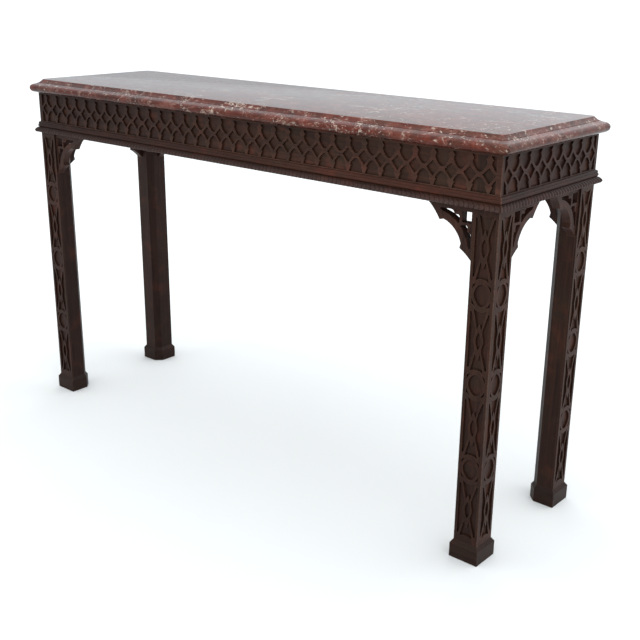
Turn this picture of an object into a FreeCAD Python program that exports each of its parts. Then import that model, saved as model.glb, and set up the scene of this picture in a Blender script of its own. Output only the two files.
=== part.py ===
import FreeCAD, Part
import math
import os

# A marble-topped pier table: four square legs with blind frets, a fretted frieze over a
# gadrooned moulding, pierced corner brackets and a moulded marble slab.
# Millimetres, +Z up, +X to the right, the front towards -Y, origin on the floor at the middle.

Vector = FreeCAD.Vector
UP = Vector(0, 0, 1)

# --- Whole table ---------------------------------------------------------------------------
HEIGHT = 850.0                  # floor to the top of the marble
BODY_LENGTH = 1373.0            # over the outer faces of the legs
BODY_DEPTH = 365.0

# --- Marble top ----------------------------------------------------------------------------
TOP_THICKNESS = 32.0
TOP_OVERHANG = 18.0             # the nose stands this far beyond the legs
ARRIS_INSET = 23.5              # upper arris behind the nose
SHOULDER_INSET = 17.0           # foot of the hollow behind the nose
HOLLOW_DEPTH = 8.3              # upper arris to the foot of the hollow
HOLLOW_CURVE = 1.4              # 1 is a straight slope, more is a deeper hollow
SHOULDER_DROP = 3.2             # slope between the hollow and the half-round nose
NOSE_CORNER_RADIUS = 10.0
ARRIS_CORNER_RADIUS = 14.0

# --- Legs and feet -------------------------------------------------------------------------
LEG_WIDTH = 54.0
LEG_CHAMFER = 14.0              # inner corner, below the rails
FOOT_HEIGHT = 39.5
FOOT_PROJECTION = 5.5
FOOT_BEVEL_HEIGHT = 8.5
FOOT_TENON_DIAMETER = 24.0
FOOT_TENON_LENGTH = 28.0

# --- Rails and joints ----------------------------------------------------------------------
RAIL_HEIGHT = 102.0
RAIL_THICKNESS = 22.0
TENON_THICKNESS = 8.0
TENON_LENGTH = 22.0
TENON_SHOULDER = 12.0           # above and below each tenon
MORTISE_CLEARANCE = 1.0         # beyond the end of every tenon

BEARER_COUNT = 3
BEARER_WIDTH = 50.0
BEARER_THICKNESS = 20.0
BEARER_HOUSING = 12.0           # let into each long rail

BLOCK_HEIGHT = 36.0
BLOCK_DROP = 34.0               # marble to the top of a corner block
BLOCK_REACH = 45.0              # along each rail, from the leg
BLOCK_END = 14.0                # thickness at each end

SCREW_DIAMETER = 4.0
SCREW_LENGTH = 30.0
SCREW_HEAD_DIAMETER = 8.0
SCREW_HEAD_HEIGHT = 2.5
SCREW_BITE = 16.0               # length in the rail
SCREW_END_MARGIN = 12.0         # from the end of its block
SCREW_POCKET_CLEARANCE = 1.0

# --- Mouldings under the frieze ------------------------------------------------------------
GADROON_HEIGHT = 13.6
GADROON_PROJECTION = 11.9
GADROON_TIP_HEIGHT = 5.3        # fullest point above the lower edge; radius of the edge below it
GADROON_SWELL = 1.4             # bow of the face above the fullest point
QUIRK_PROJECTION = 3.2          # groove between the gadroons and the bead
BEAD_HEIGHT = 13.4              # both rounds of the moulding
BEAD_GROOVE_HEIGHT = 7.4        # groove between its rounds, above the quirk
BEAD_GROOVE_PROJECTION = 3.4
BEAD_TOP_PROJECTION = 0.8       # ledge under the frieze fret
BEAD_LOWER_ROUND = 1.9          # bows of the two rounds
BEAD_UPPER_ROUND = 1.7

# --- Frieze fret ---------------------------------------------------------------------------
FRET_THICKNESS = 4.0
CELL_PITCH = 39.9
FRIEZE_START_FRONT = 29.6       # left end to the first wall of the pattern
FRIEZE_START_SIDE = 21.0        # front corner to the first wall of the pattern
FRIEZE_STILE_FRONT = 12.0
FRIEZE_STILE_SIDE_FRONT = 6.5
FRIEZE_STILE_SIDE_BACK = 9.0
FRIEZE_CENTRE_DROP = 40.4       # marble to the side corners of the diamonds
FRIEZE_TOP_BORDER = 5.2
FRIEZE_BOTTOM_BORDER = 2.1
DIAMOND_HALF_WIDTH = 14.3
DIAMOND_UP = 13.6
DIAMOND_DOWN = 16.4
CELL_WALL_HALF = 2.7            # half thickness of a wall at its ends
CELL_CUSP_HALF = 7.4            # half thickness of a wall at its cusp
CELL_HOLLOW = 0.7               # bow of the wall's edge each side of a cusp
CELL_CUSP_UP = 28.2             # cusps above and below the corners of the diamonds
CELL_CUSP_DOWN = 20.6
CELL_NECK_UP = (4.6, 20.2)      # narrowest part of a wall, from its middle line
CELL_NECK_DOWN = (5.7, 17.6)
CELL_KNEE = (12.7, 8.4)         # where the side of a cell turns into its rounded end
CELL_KNEE_BOW = 0.9
CELL_ARCH_HALF = 4.5            # half thickness of the band between two cells
SMALLEST_OPENING = 4.0          # a narrower cut is left out beside a stile

# --- Leg fret: a motif drawn for a nominal field, stretched to fit each leg ----------------
LEG_FRET_BORDER = 6.0           # beside the field
LEG_FRET_TOP_BORDER = 9.5
LEG_FRET_FOOT_BORDER = 12.0
MOTIF_HALF_WIDTH = 21.0
MOTIF_PITCH = 177.3
MOTIF_END = 61.5                # middle of a lens to the end of the field
LENS_HALF_WIDTH = 6.0
LENS_HALF_HEIGHT = 18.0
SIDE_OPENING_HALF_HEIGHT = 56.0
SIDE_OPENING_TOP = (17.7, 55.0)
SIDE_OPENING_THROAT = (8.4, 25.0)
SIDE_OPENING_WAIST = (8.6, 10.0)
SIDE_OPENING_CUSP = (10.7, 2.0)
SIDE_OPENING_BOW = 1.3
ARCH_LOBES_ABOVE = (32.8, (3.6, 22.6), (5.2, 24.6))     # pendant's tip, lobe's two ends
ARCH_LOBES_BELOW = (39.0, (4.4, 26.4), (6.2, 28.5))
ARCH_LOBE_BOW = 0.4
ARCH_PENDANT_BOW = 0.9
ARCH_FOOT_HALF_WIDTH = 14.3
ARCH_FOOT_RISE = 4.5
RING_HALF_HEIGHT = 21.5
RING_HALF_WIDTH = 16.2
RING_SHOULDER = (10.4, 14.8)    # where the arc over the crown meets the arc of the side
RING_UPPER_BOW = 1.4
RING_SIDE_BOW = 1.3
SPANDREL_HIGH_TIP = (11.0, 22.6)
SPANDREL_CORNER = (19.6, 18.4)
SPANDREL_LOW_TIP = (20.6, 7.0)
SPANDREL_BOW = 1.0

# --- Corner brackets -----------------------------------------------------------------------
BRACKET_THICKNESS = 18.0
BRACKET_INSET = 4.0             # behind the outer face of the leg
BRACKET_REACH = 104.0           # along the rail
BRACKET_HIDDEN = 5.0            # height of the top bar behind the moulding's lower edge
BRACKET_BAR = 5.3
BRACKET_ARC_CENTRE = 85.0       # from the leg and from the visible top alike
BRACKET_ARC_RADIUS = 62.0
BRACKET_BAND = 13.5             # width of the curved band
BRACKET_CUSP = (75.0, 28.5)
BRACKET_HOOK = (66.0, 26.3)
BRACKET_TIP_BOW = 2.0           # hollow of the edge between the far tip and the cusp
BRACKET_EYE = 26.0              # far side of the square piercing
BRACKET_WEB = 5.3               # between the square piercing and the long one
BRACKET_STRUT = 3.5             # left along the diagonal between the two long piercings
PIERCING_START = 50.0           # the long piercing runs along the bar from here
PIERCING_END = 72.0
PIERCING_TIP = (74.0, 7.4)
PIERCING_BAND_END = 69.0
SCROLL_TIP = (43.0, 13.4)       # rounded tongue that fills the long piercing's inner corner
SCROLL_BOW = 2.2
SCROLL_CHAMFER = 2.4
PIN_DIAMETER = 1.8
PIN_LENGTH = 20.0
PIN_OFFSET = 58.0               # from the corner of the bracket

# --- Derived places ------------------------------------------------------------------------
half_length = BODY_LENGTH / 2
half_depth = BODY_DEPTH / 2
marble_bottom = HEIGHT - TOP_THICKNESS
rail_bottom = marble_bottom - RAIL_HEIGHT
quirk_height = rail_bottom + GADROON_HEIGHT
frieze_bottom = quirk_height + BEAD_HEIGHT
core_half_length = half_length - FRET_THICKNESS      # faces that the frets are glued on
core_half_depth = half_depth - FRET_THICKNESS
inner_x = half_length - LEG_WIDTH                    # inner faces of the legs
inner_y = half_depth - LEG_WIDTH
overall_reach = BODY_LENGTH + BODY_DEPTH             # longer than any cut needs
QUARTER_SAG = 1 - math.sqrt(0.5)                     # rise of a quarter circle of radius 1
LEFT, RIGHT = -1, 1
FRONT, BACK = -1, 1
SIDE_NAMES = {LEFT: "left", RIGHT: "right"}
END_NAMES = {FRONT: "front", BACK: "back"}
CORNERS = [(end, side) for end in (FRONT, BACK) for side in (LEFT, RIGHT)]


def corner_name(end, side):
    return END_NAMES[end] + "_" + SIDE_NAMES[side]


def core_face_y(end):
    """Where the rails, legs and blocks end towards the front or the back."""
    return -core_half_depth if end == FRONT else half_depth


# --- Drawing helpers -----------------------------------------------------------------------
# A path is a list of (via, point): via is None for a straight step or a point on the arc.

def straight(*points):
    return [(None, point) for point in points]


def scaled(path, across, along):
    result = []
    for via, point in path:
        new_via = None if via is None else (via[0] * across, via[1] * along)
        result.append((new_via, (point[0] * across, point[1] * along)))
    return result


def moved(path, across, along):
    result = []
    for via, point in path:
        new_via = None if via is None else (via[0] + across, via[1] + along)
        result.append((new_via, (point[0] + across, point[1] + along)))
    return result


def swapped(path):
    result = []
    for via, point in path:
        new_via = None if via is None else (via[1], via[0])
        result.append((new_via, (point[1], point[0])))
    return result


def turned_round(path):
    result = [(None, path[-1][1])]
    for index in range(len(path) - 1, 0, -1):
        result.append((path[index][0], path[index - 1][1]))
    return result


def closed_wire(path, place):
    """One closed wire of a path; place turns its two coordinates into a point in space."""
    first = path[0][1]
    edges = []
    here = first
    for via, there in path[1:] + [(None, first)]:
        if math.dist(here, there) < 1e-6:
            continue
        if via is None:
            edges.append(Part.makeLine(place(*here), place(*there)))
        else:
            edges.append(Part.Arc(place(*here), place(*via), place(*there)).toShape())
        here = there
    return Part.Wire(edges)


def bow(start, end, sag):
    """An arc step to end that stands off the chord by sag, to the left where it is positive."""
    across = end[0] - start[0]
    along = end[1] - start[1]
    share = sag / math.hypot(across, along)
    via = ((start[0] + end[0]) / 2 - along * share, (start[1] + end[1]) / 2 + across * share)
    return (via, end)


def flat_face(path, place):
    return Part.Face(closed_wire(path, place))


def pierced_face(outer, openings):
    return Part.makeFace([outer] + openings, "Part::FaceMakerCheese")


def plan_prism(points, bottom, top):
    """Upright prism on a polygon of plan points."""
    wire = closed_wire(straight(*points), lambda x, y: Vector(x, y, bottom))
    return Part.Face(wire).extrude(UP * (top - bottom))


def box(x_range, y_range, z_range):
    low = Vector(min(x_range), min(y_range), min(z_range))
    high = Vector(max(x_range), max(y_range), max(z_range))
    return Part.makeBox(high.x - low.x, high.y - low.y, high.z - low.z, low)


def rod(start, direction, length, diameter):
    return Part.makeCylinder(diameter / 2, length, start, direction)


def clipped_wires(path, place, limits):
    """The outlines of what is left of a path inside a rectangular field."""
    low, high, bottom, top = limits
    xs = [point[0] for via, point in path]
    if max(xs) - SMALLEST_OPENING < low or min(xs) + SMALLEST_OPENING > high:
        return []
    wire = closed_wire(path, place)
    if min(xs) >= low and max(xs) <= high:
        return [wire]
    corners = straight((low, bottom), (high, bottom), (high, top), (low, top))
    inside = Part.Face(wire).common(flat_face(corners, place))
    return [face.OuterWire for face in inside.Faces]


# --- Marble top ----------------------------------------------------------------------------

def rounded_rectangle(overhang, radius, z):
    """Outline of the slab at one height, an overhang beyond the legs."""
    x = half_length + overhang
    y = half_depth + overhang
    start = (x, y - radius)
    corner = [(None, start), bow(start, (x - radius, y), -radius * QUARTER_SAG)]
    half = corner + turned_round(scaled(corner, -1, 1))
    path = half + turned_round(scaled(half, 1, -1))
    return closed_wire(path, lambda px, py: Vector(px, py, z))


def make_marble_top():
    nose_radius = (TOP_THICKNESS - HOLLOW_DEPTH - SHOULDER_DROP) / 2
    nose_centre = marble_bottom + nose_radius
    arris = TOP_OVERHANG - ARRIS_INSET
    shoulder = TOP_OVERHANG - SHOULDER_INSET
    nose_start = TOP_OVERHANG - nose_radius
    shoulder_z = HEIGHT - HOLLOW_DEPTH

    hollow = []
    for step in range(4):
        fall = step / 3
        overhang = arris + (shoulder - arris) * fall ** HOLLOW_CURVE
        radius = ARRIS_CORNER_RADIUS + (NOSE_CORNER_RADIUS - ARRIS_CORNER_RADIUS) * fall
        hollow.append(rounded_rectangle(overhang, radius, HEIGHT - HOLLOW_DEPTH * fall))

    nose = []
    for step in range(9):
        angle = math.radians(90 - 180 * step / 8)
        overhang = nose_start + nose_radius * math.cos(angle)
        z = nose_centre + nose_radius * math.sin(angle)
        nose.append(rounded_rectangle(overhang, NOSE_CORNER_RADIUS, z))

    upper = Part.makeLoft(hollow, True, False)
    slope = Part.makeLoft([rounded_rectangle(shoulder, NOSE_CORNER_RADIUS, shoulder_z), nose[0]],
                          True, True)
    lower = Part.makeLoft(nose, True, False)
    return upper.fuse([slope, lower])


# --- Legs and feet -------------------------------------------------------------------------

def leg_section(end, side, outer_x, outer_y, grow=0.0):
    """Plan of a leg with its chamfered inner corner, grown outwards by an offset."""
    chamfer = LEG_CHAMFER + grow * (2 - math.sqrt(2))
    near_x = inner_x - grow
    near_y = inner_y - grow
    far_x = outer_x + grow
    far_y = outer_y + grow
    points = [
        (far_x, far_y),
        (near_x, far_y),
        (near_x, near_y + chamfer),
        (near_x + chamfer, near_y),
        (far_x, near_y),
    ]
    return [(side * x, end * y) for x, y in points]


def mortise(end, side, along_x):
    """The pocket in a leg for a rail that runs along x or along y."""
    depth = TENON_LENGTH + MORTISE_CLEARANCE
    z_range = (rail_bottom + TENON_SHOULDER, marble_bottom - TENON_SHOULDER)
    if along_x:
        middle = core_face_y(end) - end * RAIL_THICKNESS / 2
        y_range = (middle - TENON_THICKNESS / 2, middle + TENON_THICKNESS / 2)
        return box((side * inner_x, side * (inner_x + depth)), y_range, z_range)
    middle = core_half_length - RAIL_THICKNESS / 2
    x_range = (side * (middle - TENON_THICKNESS / 2), side * (middle + TENON_THICKNESS / 2))
    return box(x_range, (end * inner_y, end * (inner_y + depth)), z_range)


def foot_tenon_centre(end, side):
    x = side * (half_length - LEG_WIDTH / 2)
    y = end * (half_depth - LEG_WIDTH / 2)
    return Vector(x, y, FOOT_HEIGHT)


def make_leg(end, side, pins):
    outer_y = abs(core_face_y(end))
    shaft = plan_prism(leg_section(end, side, core_half_length, outer_y), FOOT_HEIGHT, rail_bottom)
    head = box((side * inner_x, side * core_half_length), (end * inner_y, end * outer_y),
               (rail_bottom, marble_bottom))
    tenon = rod(foot_tenon_centre(end, side), -UP, FOOT_TENON_LENGTH, FOOT_TENON_DIAMETER)
    leg = shaft.fuse([head, tenon])
    return leg.cut([mortise(end, side, True), mortise(end, side, False)] + pins)


def make_foot(end, side):
    bevel_z = FOOT_HEIGHT - FOOT_BEVEL_HEIGHT
    wide = leg_section(end, side, half_length, half_depth, FOOT_PROJECTION)
    narrow = leg_section(end, side, half_length, half_depth)
    block = plan_prism(wide, 0.0, bevel_z)
    lower = closed_wire(straight(*wide), lambda x, y: Vector(x, y, bevel_z))
    upper = closed_wire(straight(*narrow), lambda x, y: Vector(x, y, FOOT_HEIGHT))
    bevel = Part.makeLoft([lower, upper], True, True)
    socket = rod(foot_tenon_centre(end, side), -UP, FOOT_TENON_LENGTH + MORTISE_CLEARANCE,
                 FOOT_TENON_DIAMETER)
    return block.fuse(bevel).cut(socket)


# --- Rails, bearers and corner blocks ------------------------------------------------------

def bearer_centres():
    spacing = 2 * inner_x / (BEARER_COUNT + 1)
    return [spacing * (index + 1) - inner_x for index in range(BEARER_COUNT)]


def rail_inner_y(end):
    return core_face_y(end) - end * RAIL_THICKNESS


def make_long_rail(end, cuts):
    y_range = (core_face_y(end), rail_inner_y(end))
    body = box((-inner_x, inner_x), y_range, (rail_bottom, marble_bottom))
    middle = (y_range[0] + y_range[1]) / 2
    reach = inner_x + TENON_LENGTH
    tenon = box((-reach, reach), (middle - TENON_THICKNESS / 2, middle + TENON_THICKNESS / 2),
                (rail_bottom + TENON_SHOULDER, marble_bottom - TENON_SHOULDER))
    return body.fuse(tenon).cut([make_bearer(centre) for centre in bearer_centres()] + cuts)


def make_side_rail(side, cuts):
    outer = side * core_half_length
    inner = side * (core_half_length - RAIL_THICKNESS)
    body = box((outer, inner), (-inner_y, inner_y), (rail_bottom, marble_bottom))
    middle = (outer + inner) / 2
    reach = inner_y + TENON_LENGTH
    tenon = box((middle - TENON_THICKNESS / 2, middle + TENON_THICKNESS / 2), (-reach, reach),
                (rail_bottom + TENON_SHOULDER, marble_bottom - TENON_SHOULDER))
    return body.fuse(tenon).cut(cuts)


def make_bearer(centre):
    y_range = (rail_inner_y(FRONT) - BEARER_HOUSING, rail_inner_y(BACK) + BEARER_HOUSING)
    x_range = (centre - BEARER_WIDTH / 2, centre + BEARER_WIDTH / 2)
    return box(x_range, y_range, (marble_bottom - BEARER_THICKNESS, marble_bottom))


def block_screws(end, side):
    """The two screws of a corner block: (head seat, direction) for the long and the side rail."""
    z = marble_bottom - BLOCK_DROP - BLOCK_HEIGHT / 2
    seat_depth = SCREW_LENGTH - SCREW_BITE
    x_far = side * (inner_x - BLOCK_REACH + SCREW_END_MARGIN)
    y_far = end * (inner_y - BLOCK_REACH + SCREW_END_MARGIN)
    long_seat = Vector(x_far, rail_inner_y(end) - end * seat_depth, z)
    side_face = core_half_length - RAIL_THICKNESS
    side_seat = Vector(side * (side_face - seat_depth), y_far, z)
    return [(long_seat, Vector(0, end, 0)), (side_seat, Vector(side, 0, 0))]


def make_screw(seat, direction):
    shank = rod(seat, direction, SCREW_LENGTH, SCREW_DIAMETER)
    head = rod(seat, -direction, SCREW_HEAD_HEIGHT, SCREW_HEAD_DIAMETER)
    return shank.fuse(head)


def make_corner_block(end, side):
    top = marble_bottom - BLOCK_DROP
    rail_x = core_half_length - RAIL_THICKNESS
    rail_y = abs(rail_inner_y(end))
    points = [
        (rail_x, inner_y),
        (inner_x, inner_y),
        (inner_x, rail_y),
        (inner_x - BLOCK_REACH, rail_y),
        (inner_x - BLOCK_REACH, rail_y - BLOCK_END),
        (rail_x - BLOCK_END, inner_y - BLOCK_REACH),
        (rail_x, inner_y - BLOCK_REACH),
    ]
    block = plan_prism([(side * x, end * y) for x, y in points], top - BLOCK_HEIGHT, top)
    cuts = []
    for seat, direction in block_screws(end, side):
        cuts.append(make_screw(seat, direction))
        pocket_diameter = SCREW_HEAD_DIAMETER + SCREW_POCKET_CLEARANCE
        cuts.append(rod(seat, -direction, BLOCK_REACH + LEG_WIDTH, pocket_diameter))
    return block.cut(cuts)


# --- Mouldings under the frieze ------------------------------------------------------------
# Profiles are drawn as (projection beyond the legs, height).

def gadroon_profile(embed):
    round_start = (GADROON_PROJECTION - GADROON_TIP_HEIGHT, rail_bottom)
    tip = (GADROON_PROJECTION, rail_bottom + GADROON_TIP_HEIGHT)
    return [
        (None, (-embed, rail_bottom)),
        (None, round_start),
        bow(round_start, tip, -GADROON_TIP_HEIGHT * QUARTER_SAG),
        bow(tip, (QUIRK_PROJECTION, quirk_height), -GADROON_SWELL),
        (None, (-embed, quirk_height)),
    ]


def bead_profile(embed):
    quirk = (QUIRK_PROJECTION, quirk_height)
    groove = (BEAD_GROOVE_PROJECTION, quirk_height + BEAD_GROOVE_HEIGHT)
    return [
        (None, (-embed, quirk_height)),
        (None, quirk),
        bow(quirk, groove, -BEAD_LOWER_ROUND),
        bow(groove, (BEAD_TOP_PROJECTION, frieze_bottom), -BEAD_UPPER_ROUND),
        (None, (-embed, frieze_bottom)),
    ]


def make_long_moulding(end, profile):
    """Moulding across the front, let in beside the fret, or across the plain back."""
    embed = FRET_THICKNESS if end == FRONT else 0.0
    bar = flat_face(profile(embed), lambda out, z: Vector(-overall_reach / 2,
                                                          end * (half_depth + out), z))
    bar = bar.extrude(Vector(overall_reach, 0, 0))
    reach = GADROON_PROJECTION + FRET_THICKNESS
    points = [
        (-half_length + embed, half_depth - embed),
        (-half_length - reach, half_depth + reach),
        (half_length + reach, half_depth + reach),
        (half_length - embed, half_depth - embed),
    ]
    return bar.common(plan_prism([(x, end * y) for x, y in points], 0.0, HEIGHT))


def make_side_moulding(side, profile):
    bar = flat_face(profile(FRET_THICKNESS), lambda out, z: Vector(side * (half_length + out),
                                                                   -overall_reach / 2, z))
    bar = bar.extrude(Vector(0, overall_reach, 0))
    reach = GADROON_PROJECTION + FRET_THICKNESS
    points = [
        (core_half_length, -core_half_depth),
        (half_length + reach, -half_depth - reach),
        (half_length + reach, half_depth + reach),
        (half_length, half_depth),
        (core_half_length, half_depth),
    ]
    return bar.common(plan_prism([(side * x, y) for x, y in points], 0.0, HEIGHT))


# --- Frieze fret ---------------------------------------------------------------------------
# Drawn as (distance from the middle of a wall, height).

def cell_path(way, cusp, neck, end):
    """One opening between two walls, above (way 1) or below (way -1) the diamonds."""
    half = CELL_PITCH / 2
    wall_end = (CELL_WALL_HALF - half, end)
    wall_cusp = (CELL_CUSP_HALF - half, cusp)
    wall_neck = (neck[0] - half, neck[1])
    knee = (CELL_KNEE[0] - half, CELL_KNEE[1])
    side = [
        (None, wall_end),
        bow(wall_end, wall_cusp, -CELL_HOLLOW),
        bow(wall_cusp, wall_neck, -CELL_HOLLOW),
        bow(wall_neck, knee, -CELL_KNEE_BOW),
    ]
    arch = [((0.0, CELL_ARCH_HALF), (-knee[0], knee[1]))]
    path = side + arch + turned_round(scaled(side, -1, 1))[1:]
    return moved(scaled(path, 1, way), half, marble_bottom - FRIEZE_CENTRE_DROP)


def diamond_path():
    centre = marble_bottom - FRIEZE_CENTRE_DROP
    tips = straight((0, DIAMOND_UP), (DIAMOND_HALF_WIDTH, 0),
                    (0, -DIAMOND_DOWN), (-DIAMOND_HALF_WIDTH, 0))
    return moved(tips, 0.0, centre)


def frieze_face(place, low, high, first_wall, stiles):
    """The pierced face of one frieze panel between two ends."""
    centre = marble_bottom - FRIEZE_CENTRE_DROP
    top = marble_bottom - FRIEZE_TOP_BORDER
    bottom = frieze_bottom + FRIEZE_BOTTOM_BORDER
    limits = (low + stiles[0], high - stiles[1], bottom, top)
    motifs = [
        diamond_path(),
        cell_path(1, CELL_CUSP_UP, CELL_NECK_UP, top - centre),
        cell_path(-1, CELL_CUSP_DOWN, CELL_NECK_DOWN, centre - bottom),
    ]
    openings = []
    wall = first_wall - CELL_PITCH
    while wall < high:
        for motif in motifs:
            openings += clipped_wires(moved(motif, wall, 0.0), place, limits)
        wall += CELL_PITCH
    corners = straight((low, frieze_bottom), (high, frieze_bottom),
                       (high, marble_bottom), (low, marble_bottom))
    return pierced_face(closed_wire(corners, place), openings)


def corner_mitre(side, keep_front):
    """Wedge that mitres two frets at a front corner; it removes the other fret's half."""
    corner = (side * half_length, -half_depth)
    inside = (side * (half_length - 2 * FRET_THICKNESS), 2 * FRET_THICKNESS - half_depth)
    if keep_front:
        third = (corner[0], inside[1])
    else:
        third = (inside[0], corner[1])
    return plan_prism([corner, inside, third], 0.0, HEIGHT)


def make_front_frieze_fret():
    face = frieze_face(lambda x, z: Vector(x, -half_depth, z), -half_length, half_length,
                       FRIEZE_START_FRONT - half_length, (FRIEZE_STILE_FRONT, FRIEZE_STILE_FRONT))
    panel = face.extrude(Vector(0, FRET_THICKNESS, 0))
    return panel.cut([corner_mitre(LEFT, True), corner_mitre(RIGHT, True)])


def make_side_frieze_fret(side):
    face = frieze_face(lambda y, z: Vector(side * half_length, y, z), -half_depth, half_depth,
                       FRIEZE_START_SIDE - half_depth,
                       (FRIEZE_STILE_SIDE_FRONT, FRIEZE_STILE_SIDE_BACK))
    panel = face.extrude(Vector(-side * FRET_THICKNESS, 0, 0))
    return panel.cut(corner_mitre(side, False))


# --- Leg fret ------------------------------------------------------------------------------
# Drawn as (distance from the middle of the leg, distance from the middle of a lens or ring).

def arch_path(pendant, lobe_inner, lobe_outer):
    """An arch that opens away from a lens, with two lobes and a pendant between them."""
    tip = (0.0, pendant)
    half = [
        (None, tip),
        bow(tip, lobe_inner, ARCH_PENDANT_BOW),
        bow(lobe_inner, lobe_outer, -ARCH_LOBE_BOW),
        (None, (ARCH_FOOT_HALF_WIDTH, MOTIF_END)),
    ]
    foot = ((0.0, MOTIF_END - ARCH_FOOT_RISE), (-ARCH_FOOT_HALF_WIDTH, MOTIF_END))
    return half + [foot] + turned_round(scaled(half, -1, 1))[1:]


def lens_paths():
    """A lens, the openings each side of it and the arches above and below."""
    half_lens = [
        (None, (0.0, LENS_HALF_HEIGHT)),
        ((LENS_HALF_WIDTH, 0.0), (0.0, -LENS_HALF_HEIGHT)),
    ]
    half_side = [
        (None, (MOTIF_HALF_WIDTH, SIDE_OPENING_HALF_HEIGHT)),
        (None, SIDE_OPENING_TOP),
        (None, SIDE_OPENING_THROAT),
        bow(SIDE_OPENING_THROAT, SIDE_OPENING_WAIST, -SIDE_OPENING_BOW),
        (None, SIDE_OPENING_CUSP),
    ]
    lens = half_lens + turned_round(scaled(half_lens, -1, 1))
    side = half_side + turned_round(scaled(half_side, 1, -1))
    above = arch_path(*ARCH_LOBES_ABOVE)
    below = scaled(arch_path(*ARCH_LOBES_BELOW), 1, -1)
    return [lens, side, scaled(side, -1, 1), above, below]


def ring_paths():
    """A rounded ring and the slender spandrels that follow it at its corners."""
    crown = (0.0, RING_HALF_HEIGHT)
    quarter = [
        (None, crown),
        bow(crown, RING_SHOULDER, RING_UPPER_BOW),
        bow(RING_SHOULDER, (RING_HALF_WIDTH, 0.0), RING_SIDE_BOW),
    ]
    half = quarter + turned_round(scaled(quarter, 1, -1))
    ring = half + turned_round(scaled(half, -1, 1))
    spandrel = [
        (None, SPANDREL_HIGH_TIP),
        (None, SPANDREL_CORNER),
        (None, SPANDREL_LOW_TIP),
        bow(SPANDREL_LOW_TIP, SPANDREL_HIGH_TIP, -SPANDREL_BOW),
    ]
    return [ring] + [scaled(spandrel, side, way) for side in (-1, 1) for way in (-1, 1)]


def leg_fret_openings(place, covered):
    """Openings of one leg's fret; place takes the distance from the leg's middle and the height.

    covered is the strip of the face that lies behind the edge of the front's fret.
    """
    bottom = FOOT_HEIGHT + LEG_FRET_FOOT_BORDER
    field = rail_bottom - LEG_FRET_TOP_BORDER - bottom
    ends = 2 * MOTIF_END / MOTIF_PITCH
    count = max(1, round(field / MOTIF_PITCH - ends) + 1)
    pitch = field / (count - 1 + ends)
    stretch = pitch / MOTIF_PITCH
    widen = ((LEG_WIDTH - covered) / 2 - LEG_FRET_BORDER) / MOTIF_HALF_WIDTH
    openings = []
    for index in range(count):
        lens_z = bottom + MOTIF_END * stretch + index * pitch
        groups = [(lens_paths(), lens_z)]
        if index < count - 1:
            groups.append((ring_paths(), lens_z + pitch / 2))
        for paths, centre in groups:
            for path in paths:
                path = moved(scaled(path, widen, stretch), covered / 2, centre)
                openings.append(closed_wire(path, place))
    return openings


def leg_fret_face(place, covered):
    half = LEG_WIDTH / 2
    corners = straight((-half, FOOT_HEIGHT), (half, FOOT_HEIGHT), (half, rail_bottom),
                       (-half, rail_bottom))
    return pierced_face(closed_wire(corners, place), leg_fret_openings(place, covered))


def make_leg_fret_front(side):
    middle = side * (half_length - LEG_WIDTH / 2)
    face = leg_fret_face(lambda u, z: Vector(middle + u, -half_depth, z), 0.0)
    return face.extrude(Vector(0, FRET_THICKNESS, 0)).cut(corner_mitre(side, True))


def make_leg_fret_side(end, side):
    middle = end * (half_depth - LEG_WIDTH / 2)
    covered = FRET_THICKNESS if end == FRONT else 0.0
    face = leg_fret_face(lambda u, z: Vector(side * half_length, middle + u, z), covered)
    panel = face.extrude(Vector(-side * FRET_THICKNESS, 0, 0))
    return panel.cut(corner_mitre(side, False)) if end == FRONT else panel


# --- Corner brackets -----------------------------------------------------------------------
# Drawn as (distance from the leg, distance below the visible top); the same each way about
# the diagonal, apart from the strip that the leg and the rail take off.

def bracket_outline():
    far_tip = (BRACKET_REACH, -BRACKET_HIDDEN)
    diagonal = BRACKET_ARC_CENTRE - BRACKET_ARC_RADIUS * math.sqrt(0.5)
    half = [
        (None, (-BRACKET_HIDDEN, -BRACKET_HIDDEN)),
        (None, far_tip),
        bow(far_tip, BRACKET_CUSP, BRACKET_TIP_BOW),
        (None, BRACKET_HOOK),
    ]
    arc = [((diagonal, diagonal), (BRACKET_HOOK[1], BRACKET_HOOK[0]))]
    return half + arc + turned_round(swapped(half))[1:]


def bracket_piercings():
    """The square piercing in the corner and the long ones beside the curved band."""
    radius = BRACKET_ARC_RADIUS + BRACKET_BAND
    inner = BRACKET_EYE + BRACKET_WEB
    strut = BRACKET_STRUT * math.sqrt(2)
    strut_end = BRACKET_ARC_CENTRE - (math.sqrt(2 * radius ** 2 - strut ** 2) - strut) / 2

    def on_band(a):
        return (a, BRACKET_ARC_CENTRE - math.sqrt(radius ** 2 - (BRACKET_ARC_CENTRE - a) ** 2))

    if inner < strut_end:
        beside_strut = straight((inner, inner - strut), (strut_end, strut_end - strut))
    else:
        beside_strut = straight(on_band(inner))
    scroll_start = (PIERCING_START, BRACKET_BAR)
    to_band = [
        (None, (PIERCING_END, BRACKET_BAR)),
        (None, scroll_start),
        bow(scroll_start, SCROLL_TIP, SCROLL_BOW),
        (None, (inner + SCROLL_CHAMFER, SCROLL_TIP[1])),
        (None, (inner, SCROLL_TIP[1] + SCROLL_CHAMFER)),
    ]
    along_band = [
        (on_band(PIERCING_START), on_band(PIERCING_BAND_END)),
        (None, PIERCING_TIP),
    ]
    long_opening = to_band + beside_strut + along_band
    eye = straight((BRACKET_BAR, BRACKET_BAR), (BRACKET_EYE, BRACKET_BAR),
                   (BRACKET_EYE, BRACKET_EYE), (BRACKET_BAR, BRACKET_EYE))
    return [eye, long_opening, swapped(long_opening)]


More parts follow.
